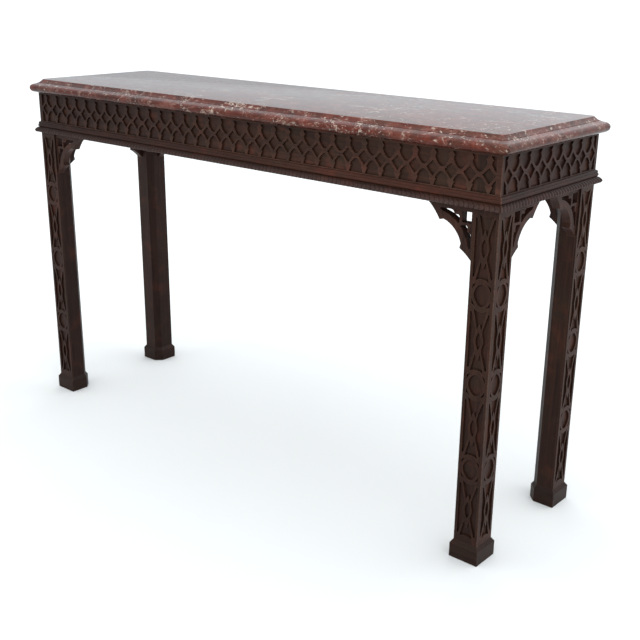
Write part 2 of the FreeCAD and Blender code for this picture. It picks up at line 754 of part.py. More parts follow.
def make_bracket(place, thickness):
    """A pierced bracket; place turns the drawing into its outer face."""
    outline = flat_face(bracket_outline(), place)
    reach = BRACKET_REACH + BRACKET_HIDDEN
    clear_of_leg = flat_face(straight((0, -BRACKET_HIDDEN), (reach, -BRACKET_HIDDEN),
                                      (reach, reach), (0, reach)), place)
    body = outline.common(clear_of_leg).Faces[0]
    piercings = [closed_wire(path, place) for path in bracket_piercings()]
    return pierced_face(body.OuterWire, piercings).extrude(thickness)


def bracket_place(end, side, along_x):
    """Drawing plane and thickness of the bracket under a long rail or a side rail."""
    top = rail_bottom - BRACKET_HIDDEN
    if along_x:
        y = end * (half_depth - BRACKET_INSET)
        return (lambda a, b: Vector(side * (inner_x - a), y, top - b),
                Vector(0, -end * BRACKET_THICKNESS, 0))
    x = side * (half_length - BRACKET_INSET)
    return (lambda a, b: Vector(x, end * (inner_y - a), top - b),
            Vector(-side * BRACKET_THICKNESS, 0, 0))


def bracket_pins(end, side, along_x):
    """Two pins through a bracket: one up into its rail and one sideways into its leg."""
    place, thickness = bracket_place(end, side, along_x)
    middle = thickness * 0.5
    into_leg = Vector(side, 0, 0) if along_x else Vector(0, end, 0)
    up_pin = rod(place(PIN_OFFSET, BRACKET_BAR) + middle, UP, PIN_LENGTH, PIN_DIAMETER)
    leg_pin = rod(place(BRACKET_BAR, PIN_OFFSET) + middle, into_leg, PIN_LENGTH, PIN_DIAMETER)
    return [up_pin, leg_pin]


# --- All the pieces ------------------------------------------------------------------------

def build_pieces():
    pins = {}
    screws = {}
    for end, side in CORNERS:
        pins[(end, side)] = bracket_pins(end, side, True) + bracket_pins(end, side, False)
        screws[(end, side)] = [make_screw(*screw) for screw in block_screws(end, side)]
    all_pins = [pin for group in pins.values() for pin in group]
    all_screws = [screw for group in screws.values() for screw in group]

    pieces = {"marble_top": make_marble_top()}
    for end, side in CORNERS:
        name = corner_name(end, side)
        pieces["leg_" + name] = make_leg(end, side, pins[(end, side)])
        pieces["foot_" + name] = make_foot(end, side)
        pieces["leg_fret_" + name + "_outer"] = make_leg_fret_side(end, side)
        pieces["corner_block_" + name] = make_corner_block(end, side)
        for along_x in (True, False):
            face_name = END_NAMES[end] if along_x else "end"
            bracket = make_bracket(*bracket_place(end, side, along_x)).cut(pins[(end, side)])
            pieces["bracket_" + name + "_" + face_name] = bracket
    for end in (FRONT, BACK):
        cuts = [piece for side in (LEFT, RIGHT) for piece in pins[(end, side)] + screws[(end, side)]]
        pieces["rail_" + END_NAMES[end]] = make_long_rail(end, cuts)
        pieces["bead_moulding_" + END_NAMES[end]] = make_long_moulding(end, bead_profile)
        pieces["gadroon_moulding_" + END_NAMES[end]] = make_long_moulding(end, gadroon_profile)
    for side in (LEFT, RIGHT):
        cuts = [piece for end in (FRONT, BACK) for piece in pins[(end, side)] + screws[(end, side)]]
        name = SIDE_NAMES[side]
        pieces["rail_" + name] = make_side_rail(side, cuts)
        pieces["bead_moulding_" + name] = make_side_moulding(side, bead_profile)
        pieces["gadroon_moulding_" + name] = make_side_moulding(side, gadroon_profile)
        pieces["frieze_fret_" + name] = make_side_frieze_fret(side)
        pieces["leg_fret_front_" + name + "_front"] = make_leg_fret_front(side)
    pieces["frieze_fret_front"] = make_front_frieze_fret()
    for index, centre in enumerate(bearer_centres()):
        pieces["cross_bearer_%d" % (index + 1)] = make_bearer(centre)
    pieces["corner_block_screws"] = Part.makeCompound(all_screws)
    pieces["bracket_pins"] = Part.makeCompound(all_pins)
    return pieces


def main():
    os.makedirs("parts", exist_ok=True)
    for name, shape in build_pieces().items():
        solids = shape.Solids
        whole = solids[0] if len(solids) == 1 else Part.makeCompound(solids)
        whole.exportStep("parts/" + name + ".step")
        print("%-34s %3d solid(s) %10.1f cm3 valid %s" % (name, len(solids), whole.Volume / 1000,
                                                          whole.isValid()))


main()
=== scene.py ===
import math
import bmesh
import bpy
from mathutils import Matrix, Vector


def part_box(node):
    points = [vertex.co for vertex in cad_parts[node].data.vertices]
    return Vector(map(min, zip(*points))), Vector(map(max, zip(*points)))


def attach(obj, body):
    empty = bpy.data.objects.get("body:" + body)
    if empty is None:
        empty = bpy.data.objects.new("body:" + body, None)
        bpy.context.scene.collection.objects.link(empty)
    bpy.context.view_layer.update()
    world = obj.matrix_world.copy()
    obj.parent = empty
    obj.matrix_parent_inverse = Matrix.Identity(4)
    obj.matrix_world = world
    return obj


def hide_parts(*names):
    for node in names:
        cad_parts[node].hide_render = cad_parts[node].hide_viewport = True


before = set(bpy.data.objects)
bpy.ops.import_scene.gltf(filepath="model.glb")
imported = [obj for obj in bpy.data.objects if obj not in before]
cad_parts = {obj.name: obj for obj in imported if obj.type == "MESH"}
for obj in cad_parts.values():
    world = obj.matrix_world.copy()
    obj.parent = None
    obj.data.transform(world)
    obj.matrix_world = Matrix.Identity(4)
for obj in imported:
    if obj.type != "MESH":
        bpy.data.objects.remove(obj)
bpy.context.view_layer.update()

# The looks of a marble-topped pier table: polished red-brown marble over dark waxed
# mahogany with cut frets, a gadrooned edge and pierced brackets. Metres, as the frame is.

MM = 0.001
UP = Vector((0, 0, 1))

# --- Camera, solved from the edges of the slab, legs and feet -------------------------------
CAMERA_PLACE = Vector((1.56454, -1.69329, 1.10594))
CAMERA_YAW = math.radians(40.52)
CAMERA_PITCH = math.radians(19.04)
CAMERA_ROLL = math.radians(0.58)
CAMERA_FOCAL_PIXELS = 997.01
PICTURE_PIXELS = 640
SENSOR_WIDTH = 36.0

# --- Studio -----------------------------------------------------------------------------------
FLOOR_HALF = 400.0
FLOOR_TONE = (0.665, 0.635, 0.615)
FLOOR_MOTTLE = 0.97             # darker tone of the paper as a share of the lighter one
FLOOR_MOTTLE_NOISE = (3, 3)     # features per metre, and detail
FLOOR_ROUGHNESS = 0.9
FLOOR_SPECULAR = 0.1
SKY_LEVEL = 0.86                # strength at eye level
SKY_RISE = 1.70                 # gained up to the zenith
SKY_RIGHT = 0.20                # share gained towards the right, and lost towards the left
SKY_BACK = 0.12                 # share gained towards the back
SKY_TONE = (0.895, 0.980, 1.030)

# --- Gadrooned edge: the frame's profile, and the lobes carved into it -------------------------
GADROON_TIP_HEIGHT = 5.3 * MM
GADROON_SWELL = 1.4 * MM
GADROON_TIP_STEPS = 6
GADROON_FACE_STEPS = 10
GADROON_SHARP_ANGLE = math.radians(60)
QUIRK_PROJECTION = 3.2 * MM
LOBE_PITCH = 10.65 * MM
LOBE_LEAN = 0.12                # run per unit of height, towards the middle of each side
LOBE_DEPTH = 2.7 * MM
LOBE_FULLNESS = 2.4             # 2 is a round lobe, more is a flatter one
LOBE_UNDERSIDE = 0.35           # share of the depth at the back of the underside
LOBE_FADE_ROWS = (3, 2)         # rows over which the depth rises below and falls above
MITRE_REACH = 1 / 12            # share of half a side over which the lean fades at a mitre
COLUMN_STEP = 0.6 * MM

# --- Marble edge, from the arris down ---------------------------------------------------------
ARRIS_INSET = 23.5 * MM
ARRIS_ROUND = 0.7 * MM
ARRIS_STEPS = 3
HOLLOW_DEPTH = 8.3 * MM
HOLLOW_CURVE = 1.4
HOLLOW_STEPS = 8
SHOULDER_INSET = 17.0 * MM
SHOULDER_DROP = 3.2 * MM
QUIRK_DEPTH = 1.0 * MM          # fine sunk line at the foot of the hollow
QUIRK_BACK = 0.3 * MM           # behind the shoulder
QUIRK_FRONT = 0.7 * MM          # in front of the shoulder
QUIRK_LIP = (1.3 * MM, 0.4 * MM)    # in front of the shoulder, and below it
NOSE_STEPS = 16
NOSE_CORNER_RADIUS = 10.0 * MM
ARRIS_CORNER_RADIUS = 14.0 * MM
CORNER_STEPS = 14
MARBLE_SHARP_ANGLE = math.radians(35)

# --- Softened edges ---------------------------------------------------------------------------
FRET_EDGE = 0.5 * MM
CARVED_EDGE = 0.8 * MM
LEG_EDGE = 0.9 * MM
FOOT_EDGE = 1.3 * MM
RAIL_EDGE = 1.0 * MM
METAL_EDGE = 0.3 * MM
EDGE_SEGMENTS = 2
EDGE_ANGLE = math.radians(28)
WELD_DISTANCE = 0.01 * MM

# --- Places taken from the frame --------------------------------------------------------------
leg_low, leg_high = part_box("leg_fret_front_right_front")
HALF_LENGTH = leg_high.x
HALF_DEPTH = -leg_low.y
gadroon_low, gadroon_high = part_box("gadroon_moulding_front")
GADROON_PROJECTION = -HALF_DEPTH - gadroon_low.y
RAIL_BOTTOM = gadroon_low.z
QUIRK_HEIGHT = gadroon_high.z
FRIEZE_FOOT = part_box("bead_moulding_front")[1].z
FRET_THICKNESS = gadroon_high.y + HALF_DEPTH


# --- Material nodes ---------------------------------------------------------------------------

OWN_NUMBERS = 40.0              # spread of the numbers that tell pieces apart
CLOSENESS_SAMPLES = 6
MIX_COLOUR_SOCKETS = (6, 7)
MIX_COLOUR_RESULT = 2


class Recipe:
    """One procedural material, built with short calls."""

    def __init__(self, name):
        self.material = bpy.data.materials.new(name)
        self.material.use_nodes = True
        self.tree = self.material.node_tree
        self.shader = self.tree.nodes["Principled BSDF"]
        self.place = self.node("TexCoord").outputs["Object"]

    def feed(self, socket, value):
        if isinstance(value, bpy.types.NodeSocket):
            self.tree.links.new(value, socket)
        else:
            socket.default_value = value

    def node(self, kind, inputs=(), **settings):
        made = self.tree.nodes.new("ShaderNode" + kind)
        for key, value in settings.items():
            setattr(made, key, value)
        for key, value in dict(inputs).items():
            self.feed(made.inputs[key], value)
        return made

    def finish(self, **sockets):
        for name, value in sockets.items():
            self.feed(self.shader.inputs[name.replace("_", " ")], value)
        return self.material

    def stretched(self, scale):
        """Object coordinates scaled by three factors, which draw a figure out."""
        return self.node("Mapping", {"Vector": self.place, "Scale": scale}).outputs["Vector"]

    def own_number(self):
        """A number of its own for each piece, so that no two pieces share their grain."""
        return self.times(self.node("ObjectInfo").outputs["Random"], OWN_NUMBERS)

    def noise(self, vector, scale, detail, roughness=0.55, distortion=0.0, own=0.0):
        inputs = {"Vector": vector, "W": own, "Scale": scale, "Detail": detail,
                  "Roughness": roughness, "Distortion": distortion}
        return self.node("TexNoise", inputs, noise_dimensions="4D").outputs["Fac"]

    def calc(self, operation, first, second=0.0):
        made = self.node("Math", operation=operation)
        self.feed(made.inputs[0], first)
        self.feed(made.inputs[1], second)
        return made.outputs["Value"]

    def times(self, product, *factors):
        for factor in factors:
            product = self.calc("MULTIPLY", product, factor)
        return product

    def span(self, value, low, high, to_low=0.0, to_high=1.0):
        """value mapped from one range to another, with smooth clamped ends."""
        inputs = {"Value": value, "From Min": low, "From Max": high,
                  "To Min": to_low, "To Max": to_high}
        return self.node("MapRange", inputs, interpolation_type="SMOOTHSTEP").outputs["Result"]

    def blend(self, share, first, second, mode="MIX"):
        made = self.node("Mix", data_type="RGBA", blend_type=mode)
        self.feed(made.inputs["Factor"], share)
        for index, value in zip(MIX_COLOUR_SOCKETS, (first, second)):
            colour = (*value, 1.0) if isinstance(value, tuple) else value
            self.feed(made.inputs[index], colour)
        return made.outputs[MIX_COLOUR_RESULT]

    def ramp(self, value, *stops):
        made = self.node("ValToRGB", {"Fac": value})
        elements = made.color_ramp.elements
        while len(elements) < len(stops):
            elements.new(0.5)
        for element, (position, colour) in zip(elements, stops):
            element.position = position
            element.color = (*colour, 1.0)
        return made.outputs["Color"]

    def dimmed(self, colour, factor):
        """colour multiplied by a number, which may pass 1."""
        tone = self.node("CombineColor", {"Red": factor, "Green": factor, "Blue": factor})
        return self.blend(1.0, colour, tone.outputs["Color"], "MULTIPLY")

    def coordinate(self, axis):
        return self.node("SeparateXYZ", {"Vector": self.place}).outputs[axis.upper()]

    def facing(self, axis):
        """1 where the surface faces along axis, -1 where it faces against it."""
        normal = self.node("TexCoord").outputs["Normal"]
        return self.node("SeparateXYZ", {"Vector": normal}).outputs[axis.upper()]

    def outward(self, axis):
        """1 where the surface faces away from the middle of the table along axis, -1 inwards."""
        return self.times(self.calc("SIGN", self.coordinate(axis)), self.facing(axis))

    def closeness(self, distance, inside=False):
        """How near other surfaces are: hollows outside, or thin edges where inside is true."""
        made = self.node("AmbientOcclusion", {"Distance": distance}, samples=CLOSENESS_SAMPLES,
                         inside=inside, only_local=inside)
        return self.calc("SUBTRACT", 1.0, made.outputs["AO"])

    def bump(self, height, distance, strength):
        inputs = {"Height": height, "Distance": distance, "Strength": strength}
        return self.node("Bump", inputs).outputs["Normal"]


# --- Wood -------------------------------------------------------------------------------------

GRAIN_DRAW = 0.045              # features per metre along the grain, as a share of those across
GRAIN_ALONG = {"x": (GRAIN_DRAW, 1, 1), "y": (1, GRAIN_DRAW, 1), "z": (1, 1, GRAIN_DRAW)}
DARK_WOOD = (0.016, 0.0075, 0.0052)
MID_WOOD = (0.034, 0.0150, 0.0098)
RED_WOOD = (0.070, 0.022, 0.014)
OLIVE_WOOD = (0.028, 0.0175, 0.0110)
WORN_AND_LIT_WOOD = (0.070, 0.0410, 0.0300)
PALE_WOOD = (0.074, 0.0560, 0.0500)
RAW_WOOD = (0.080, 0.0430, 0.0260)
# Dark of the pores, and of dirt and painted shade in hollows.
GRIME_AND_SHADE = (0.0045, 0.0024, 0.0018)

# Noises: features per metre, detail, roughness and distortion.
FIGURE_NOISE = (70, 4, 0.6, 1.2)
STREAK_NOISE = (520, 3, 0.65, 0.2)
PORE_NOISE = (1500, 2, 0.5, 0.0)
STAIN_NOISE = (16, 3, 0.6, 0.4)
PATCH_NOISE = (24, 2, 0.5, 0.0)
PATCH_OFFSET = 7.0              # keeps the red patches apart from the stain
RUB_NOISE = (90, 3, 0.6, 0.0)

# Spans: where each starts and ends, and the values there where they aren't 0 and 1.
STREAK_SPAN = (0.3, 0.7, 0.78, 1.22)
PORE_SPAN = (0.60, 0.72, 0.0, 0.5)
RED_SPAN = (0.52, 0.70)
OLIVE_SPAN = (0.50, 0.68)
RAW_SPAN = (-0.8, -0.4, 1.0, 0.0)
HOLLOW_SPAN = (0.10, 0.75)
EDGE_SPAN = (0.12, 0.6)
RUB_SPAN = (0.35, 0.62)
CREST_RUB_SPAN = (0.30, 0.65, 0.45, 1.0)
CREST_OPEN_SPAN = (0.05, 0.45, 1.0, 0.0)
WOOD_ROUGHNESS_SPAN = (0.2, 0.8, 0.37, 0.52)

OLIVE_SHARE = 0.55
CREST_SHARE = 0.55
LEAST_WEAR_AND_HIGHLIGHT = 0.25
SHADE_AND_GRIME_REACH = 5 * MM
WEAR_AND_HIGHLIGHT_REACH = 1.6 * MM
CREST_REACH = 3 * MM
CREST_HEIGHTS = (3 * MM, 12 * MM)   # above the foot of the rails
HOLLOW_ROUGHNESS = 0.25         # gained where the hollows are fully darkened
STREAK_RELIEF = 0.5             # height of the streaks, where a pore's depth is 1
WOOD_SPECULAR = 0.10
WOOD_RELIEF = (0.12 * MM, 0.6)  # distance and strength
FRIEZE_FOOT_REACH = 24 * MM     # height over which painted light lifts the foot of the frieze

# Painted light on the legs: shade by the floor and on inner faces, light on outer faces.
LEG_LOW_TONE = 0.76             # by the floor, against the top of a leg
LEG_LOW_HEIGHTS = (0.04, 0.62)
LEG_INNER_TONE = 0.72
LEG_OUTER_TONE = 1.20
LEG_TURN = (0.35, 0.85)         # how squarely a face looks sideways before its tone changes


def leg_painted_light(recipe):
    """Painted shade on the legs towards the floor and on the faces that look inwards, and painted
    light on the faces that look outwards.
    """
    low = recipe.span(recipe.coordinate("z"), *LEG_LOW_HEIGHTS, LEG_LOW_TONE, 1.0)
    half_turned, turned = LEG_TURN
    inside = recipe.span(recipe.outward("x"), -turned, -half_turned, LEG_INNER_TONE, 1.0)
    outside = recipe.span(recipe.outward("x"), half_turned, turned, 1.0, LEG_OUTER_TONE)
    return recipe.times(low, inside, outside)


def front_painted_light(left, right, foot=1.0):
    """Painted light on a long front, toned from its left end to its right end, and by foot at the
    foot of the frieze."""
    def painted_light(recipe):
        along = recipe.span(recipe.coordinate("x"), -HALF_LENGTH, HALF_LENGTH, left, right)
        up = recipe.span(recipe.coordinate("z"), FRIEZE_FOOT, FRIEZE_FOOT + FRIEZE_FOOT_REACH,
                         foot, 1.0)
        return recipe.times(along, up)
    return painted_light


def stained_wood(recipe, grain, streaks, own, redness):
    """The colour of the wood under its pores, grime and wear."""
    figure = recipe.noise(grain, *FIGURE_NOISE, own)
    stain = recipe.noise(recipe.place, *STAIN_NOISE, own)
    patches = recipe.noise(recipe.place, *PATCH_NOISE, recipe.calc("ADD", own, PATCH_OFFSET))
    colour = recipe.ramp(figure, (0.30, DARK_WOOD), (0.62, MID_WOOD))
    red = recipe.times(recipe.span(patches, *RED_SPAN), redness)
    colour = recipe.blend(red, colour, RED_WOOD)
    olive = recipe.times(recipe.span(stain, *OLIVE_SPAN), OLIVE_SHARE)
    colour = recipe.blend(olive, colour, OLIVE_WOOD)
    return recipe.dimmed(colour, recipe.span(streaks, *STREAK_SPAN))


def worn_and_highlit_wood(recipe, colour, own, wear_and_highlight, crest):
    """Edges rubbed lighter with a painted highlight, and crests grown pale and dusty with a
    painted highlight from one height down to another.
    """
    rubbed = recipe.noise(recipe.place, *RUB_NOISE, own)
    # Convex edges lightened: rubbed wood, and a painted highlight on the rounded edges.
    edge = recipe.span(recipe.closeness(WEAR_AND_HIGHLIGHT_REACH, inside=True), *EDGE_SPAN)
    worn_and_lit = recipe.times(edge, recipe.span(rubbed, *RUB_SPAN, LEAST_WEAR_AND_HIGHLIGHT, wear_and_highlight))
    colour = recipe.blend(worn_and_lit, colour, WORN_AND_LIT_WOOD)
    if crest:
        # Crests paled: dusty, and a painted highlight where the lobes stand out.
        pale = recipe.times(recipe.span(recipe.coordinate("z"), *crest, CREST_SHARE, 0.0),
                            recipe.span(rubbed, *CREST_RUB_SPAN),
                            recipe.span(recipe.closeness(CREST_REACH), *CREST_OPEN_SPAN))
        colour = recipe.blend(pale, colour, PALE_WOOD)
    return colour


def mahogany(name, along, tint, redness, wear_and_highlight=1.0, shade_and_grime=0.6, painted_light=None, raw_side=None,
             crest=None):
    """Dark stained mahogany with its grain along one axis, rubbed lighter and given a painted
    highlight on its edges.

    tint multiplies the colour; the factor of painted light and shade, when given, changes over the
    piece; and the face that looks inwards along raw_side is left unstained. Hollows are darkened
    by dirt and painted shade. crest holds two heights: from the upper one down to the lower one,
    what stands out grows pale and dusty, with a painted highlight."""
    recipe = Recipe(name)
    own = recipe.own_number()
    grain = recipe.stretched(GRAIN_ALONG[along])
    streaks = recipe.noise(grain, *STREAK_NOISE, own)
    pores = recipe.span(recipe.noise(grain, *PORE_NOISE, own), *PORE_SPAN)
    # Hollows near other surfaces darkened: dirt, and painted shade along the walls of the frets.
    hollows = recipe.span(recipe.closeness(SHADE_AND_GRIME_REACH), *HOLLOW_SPAN, 0.0, shade_and_grime)

    colour = stained_wood(recipe, grain, streaks, own, redness)
    if raw_side:
        raw = recipe.span(recipe.outward(raw_side), *RAW_SPAN)
        colour = recipe.blend(raw, colour, RAW_WOOD)
    colour = recipe.blend(pores, colour, GRIME_AND_SHADE)
    colour = recipe.blend(hollows, colour, GRIME_AND_SHADE)
    colour = worn_and_highlit_wood(recipe, colour, own, wear_and_highlight, crest)
    colour = recipe.blend(1.0, colour, tint, "MULTIPLY")
    if painted_light:
        colour = recipe.dimmed(colour, painted_light(recipe))

    roughness = recipe.calc("ADD", recipe.span(streaks, *WOOD_ROUGHNESS_SPAN),
                            recipe.times(hollows, HOLLOW_ROUGHNESS))
    relief = recipe.calc("SUBTRACT", recipe.times(streaks, STREAK_RELIEF), pores)
    return recipe.finish(Base_Color=colour, Roughness=roughness,
                         Specular_IOR_Level=WOOD_SPECULAR,
                         Normal=recipe.bump(relief, *WOOD_RELIEF))


def make_woods():
    """The mahogany of each kind of piece, told apart by its stain and rubbed edges, and by painted
    light and shade.
    """
    # Painted light: the fronts lighter from left to right, and the foot of the frieze lifted.
    frieze = front_painted_light(0.68, 1.22, 1.25)
    crest = [RAIL_BOTTOM + height for height in CREST_HEIGHTS]
    return {
        # The end pieces' tints are darker than the fronts': painted shade on the ends of the
        # table.
        "fret_front": mahogany("fret_front_wood", "x", (1.28, 1.11, 1.05), 0.35, 0.75, 0.5,
                               painted_light=frieze),
        "fret_end": mahogany("fret_end_wood", "y", (0.92, 0.77, 0.77), 0.2),
        "rail_front": mahogany("rail_front_wood", "x", (1.08, 0.93, 0.84), 0.7, 0.6, 0.5,
                               painted_light=frieze, raw_side="y"),
        "rail_end": mahogany("rail_end_wood", "y", (0.86, 0.71, 0.71), 0.5, 0.6, raw_side="x"),
        "bead_front": mahogany("bead_front_wood", "x", (1.30, 0.94, 0.81), 0.5,
                               painted_light=front_painted_light(0.56, 1.30)),
        "bead_end": mahogany("bead_end_wood", "y", (0.84, 0.70, 0.70), 0.3),
        "gadroon_front": mahogany("gadroon_front_wood", "x", (0.97, 0.79, 0.77), 0.4,
                                  painted_light=front_painted_light(0.80, 1.17), crest=crest),
        "gadroon_end": mahogany("gadroon_end_wood", "y", (0.75, 0.54, 0.51), 0.3, crest=crest),
        "leg": mahogany("leg_wood", "z", (0.98, 0.83, 0.75), 0.5, 0.8, painted_light=leg_painted_light),
        "leg_fret": mahogany("leg_fret_wood", "z", (1.08, 0.92, 0.85), 0.3,
                             painted_light=leg_painted_light),
        "foot": mahogany("foot_wood", "x", (0.63, 0.60, 0.57), 0.2),
        "bracket": mahogany("bracket_wood", "z", (1.22, 1.10, 1.12), 0.3),
    }


DARK_TIMBER = (0.060, 0.030, 0.018)
MID_TIMBER = (0.115, 0.062, 0.036)
PALE_TIMBER = (0.165, 0.098, 0.060)
TIMBER_CORNER_DARK = (0.022, 0.013, 0.009)
TIMBER_FIGURE_NOISE = (46, 4, 0.6, 1.8)
TIMBER_STREAK_NOISE = (420, 3, 0.65, 0.2)
TIMBER_STREAK_SPAN = (0.3, 0.7, 0.8, 1.15)
TIMBER_CORNER_SPAN = (0.2, 0.9, 0.0, 0.7)
TIMBER_ROUGHNESS_SPAN = (0.2, 0.8, 0.62, 0.78)
TIMBER_CORNER_REACH = 12 * MM
TIMBER_SPECULAR = 0.2
TIMBER_RELIEF = (0.18 * MM, 0.7)    # distance and strength


def secondary_timber(name, along):
    """The plainer wood inside, sawn and planed, stained only by age."""
    recipe = Recipe(name)
    own = recipe.own_number()
    grain = recipe.stretched(GRAIN_ALONG[along])
    figure = recipe.noise(grain, *TIMBER_FIGURE_NOISE, own)
    streaks = recipe.noise(grain, *TIMBER_STREAK_NOISE, own)
    colour = recipe.ramp(figure, (0.28, DARK_TIMBER), (0.5, MID_TIMBER), (0.72, PALE_TIMBER))
    colour = recipe.dimmed(colour, recipe.span(streaks, *TIMBER_STREAK_SPAN))
    # Darker where other surfaces are near.
    corner_dark = recipe.span(recipe.closeness(TIMBER_CORNER_REACH), *TIMBER_CORNER_SPAN)
    colour = recipe.blend(corner_dark, colour, TIMBER_CORNER_DARK)
    roughness = recipe.span(streaks, *TIMBER_ROUGHNESS_SPAN)
    return recipe.finish(Base_Color=colour, Roughness=roughness,
                         Specular_IOR_Level=TIMBER_SPECULAR,
                         Normal=recipe.bump(streaks, *TIMBER_RELIEF))


# --- Marble -----------------------------------------------------------------------------------

DARK_MARBLE = (0.036, 0.0080, 0.0048)
BROWN_MARBLE = (0.064, 0.0128, 0.0072)
RED_MARBLE = (0.098, 0.0185, 0.0100)
PINK_MARBLE = (0.160, 0.0600, 0.0440)
OLIVE_MARBLE = (0.072, 0.0320, 0.0190)
GREY_MARBLE = (0.200, 0.1650, 0.1300)
CREAM_MARBLE = (0.440, 0.3500, 0.2850)
WHITE_MARBLE = (0.600, 0.5200, 0.4500)
MARBLE_GRIME_AND_SHADE = (0.014, 0.0035, 0.0024)
MARBLE_DRAW = (0.62, 0.80, 1.0)     # the figure is drawn out along the slab
MARBLE_BENDS = ((7, 0.045), (40, 0.012))    # features per metre, and reach of each push
BEND_NOISE = {"Detail": 3.0, "Roughness": 0.6}

# Noises: features per metre, detail, roughness, distortion and the noise's own number.
BODY_NOISE = (44, 6, 0.68)
PATCH_EDGE_NOISE = (58, 6, 0.74, 0.0, 17.0)
GRAIN_NOISE = (300, 3, 0.7, 0.0, 29.0)

# Cuts: features per metre, the noise's own number, where the cut starts and where it is full.
OLIVE_CUT = (10, 3.0, 0.50, 0.64)
RED_CUT = (13, 5.0, 0.52, 0.66)
WISP_CUT = (60, 14.0, 0.44, 0.58)
SEAM_CUT = (22, 43.0, 0.48, 0.58)
BUSY_CUT = (6, 11.0, 0.44, 0.58, 3)         # the last is a detail of its own
CREAM_CUT = (95, 19.0, 0.44, 0.58)
FLECK_CUT = (135, 37.0, 0.592, 0.650)
CRACK_CUT = (24, 27.0, 0.50, 0.58)
SPECK_CUT = (16, 31.0, 0.46, 0.60)
CUT_DETAIL = 5
CUT_ROUGHNESS = 0.66

# Veins: features per metre, width as a difference of the noise, and the noise's own number.
WISP_VEINS = (26, 0.028, 13.0)
SEAM_VEINS = (34, 0.022, 41.0)
CRACK_VEINS = (17, 0.009, 23.0)
VEIN_DETAIL = 5
VEIN_ROUGHNESS = 0.62

# Spans: where each starts and ends, and the values there where they aren't 0 and 1.
HALO_SPAN = (0.530, 0.600)
PATCH_SPAN = (0.590, 0.645)
SPECK_SPAN = (0.62, 0.68)
DARK_GRAIN_SPAN = (0.32, 0.40, 0.6, 0.0)
MARBLE_WEAR_SPAN = (0.15, 0.60, 0.0, 0.6)
MARBLE_GRIME_AND_SHADE_SPAN = (0.15, 0.55, 0.0, 0.75)
MARBLE_ROUGHNESS_SPAN = (0.3, 0.7, 0.13, 0.19)
# Painted shade: tones for the faces that look down, the top face and the end faces.
UNDERSIDE_SPAN = (-0.80, 0.20, 0.60, 1.0)
TOP_SPAN = (0.90, 0.99, 1.0, 0.76)
END_FACE_SPAN = (0.30, 0.80, 1.0, 0.70)

# Strengths of the layers.
OLIVE_STRENGTH, RED_STRENGTH = 0.5, 0.6
WISP_STRENGTH, SEAM_STRENGTH, CRACK_STRENGTH = 0.8, 0.8, 0.85
HALO_STRENGTH, PATCH_STRENGTH = 0.6, 0.92
FLECKS_EVERYWHERE = 0.36
FLECKS_GAINED = 0.50                # and what the flecks gain near patches

LIGHT_STONE_ROUGHNESS = 0.07
MARBLE_SPECULAR = 0.16
MARBLE_RELIEF = (-0.05 * MM, 0.4)   # distance and strength; the light stone is pitted
MARBLE_WEAR_REACH = 2 * MM
MARBLE_GRIME_AND_SHADE_REACH = 3.5 * MM
MARBLE_ENDS = (0.95, 1.30)          # painted light: tone at the left end and at the right end


def bent_place(recipe, place, bends):
    """A place pushed about by noises, each a (scale, reach) pair."""
    for scale, reach in bends:
        noise = recipe.node("TexNoise", {"Vector": place, "Scale": scale, **BEND_NOISE})
        offset = recipe.node("VectorMath", {0: noise.outputs["Color"], 1: (0.5, 0.5, 0.5)},
                             operation="SUBTRACT")
        shift = recipe.node("VectorMath", {0: offset.outputs[0], "Scale": reach},
                            operation="SCALE")
        place = recipe.node("VectorMath", {0: place, 1: shift.outputs[0]},
                            operation="ADD").outputs[0]
    return place


def marble_cut(recipe, place, scale, own, low, high, detail=CUT_DETAIL):
    """0 to 1 where a noise of its own passes from low to high."""
    return recipe.span(recipe.noise(place, scale, detail, CUT_ROUGHNESS, 0.0, own), low, high)


def marble_veins(recipe, place, scale, width, own):
    """Thin wandering lines where a noise passes through its middle value."""
    noise = recipe.noise(place, scale, VEIN_DETAIL, VEIN_ROUGHNESS, 0.0, own)
    distance = recipe.calc("ABSOLUTE", recipe.calc("SUBTRACT", noise, 0.5))
    return recipe.span(distance, 0.0, width, 1.0, 0.0)


def marble_ground(recipe, place, body):
    """The red-brown ground with its clouds, pink wisps and dark seams."""
    colour = recipe.ramp(body, (0.34, DARK_MARBLE), (0.46, BROWN_MARBLE), (0.56, RED_MARBLE),
                         (0.70, PINK_MARBLE))
    olive = recipe.times(marble_cut(recipe, place, *OLIVE_CUT), OLIVE_STRENGTH)
    colour = recipe.blend(olive, colour, OLIVE_MARBLE)
    red = recipe.times(marble_cut(recipe, place, *RED_CUT), RED_STRENGTH)
    colour = recipe.blend(red, colour, RED_MARBLE)
    wisps = recipe.times(marble_veins(recipe, place, *WISP_VEINS),
                         marble_cut(recipe, place, *WISP_CUT), WISP_STRENGTH)
    colour = recipe.blend(wisps, colour, PINK_MARBLE)
    seams = recipe.times(marble_veins(recipe, place, *SEAM_VEINS),
                         marble_cut(recipe, place, *SEAM_CUT), SEAM_STRENGTH)
    return recipe.blend(seams, colour, DARK_MARBLE)


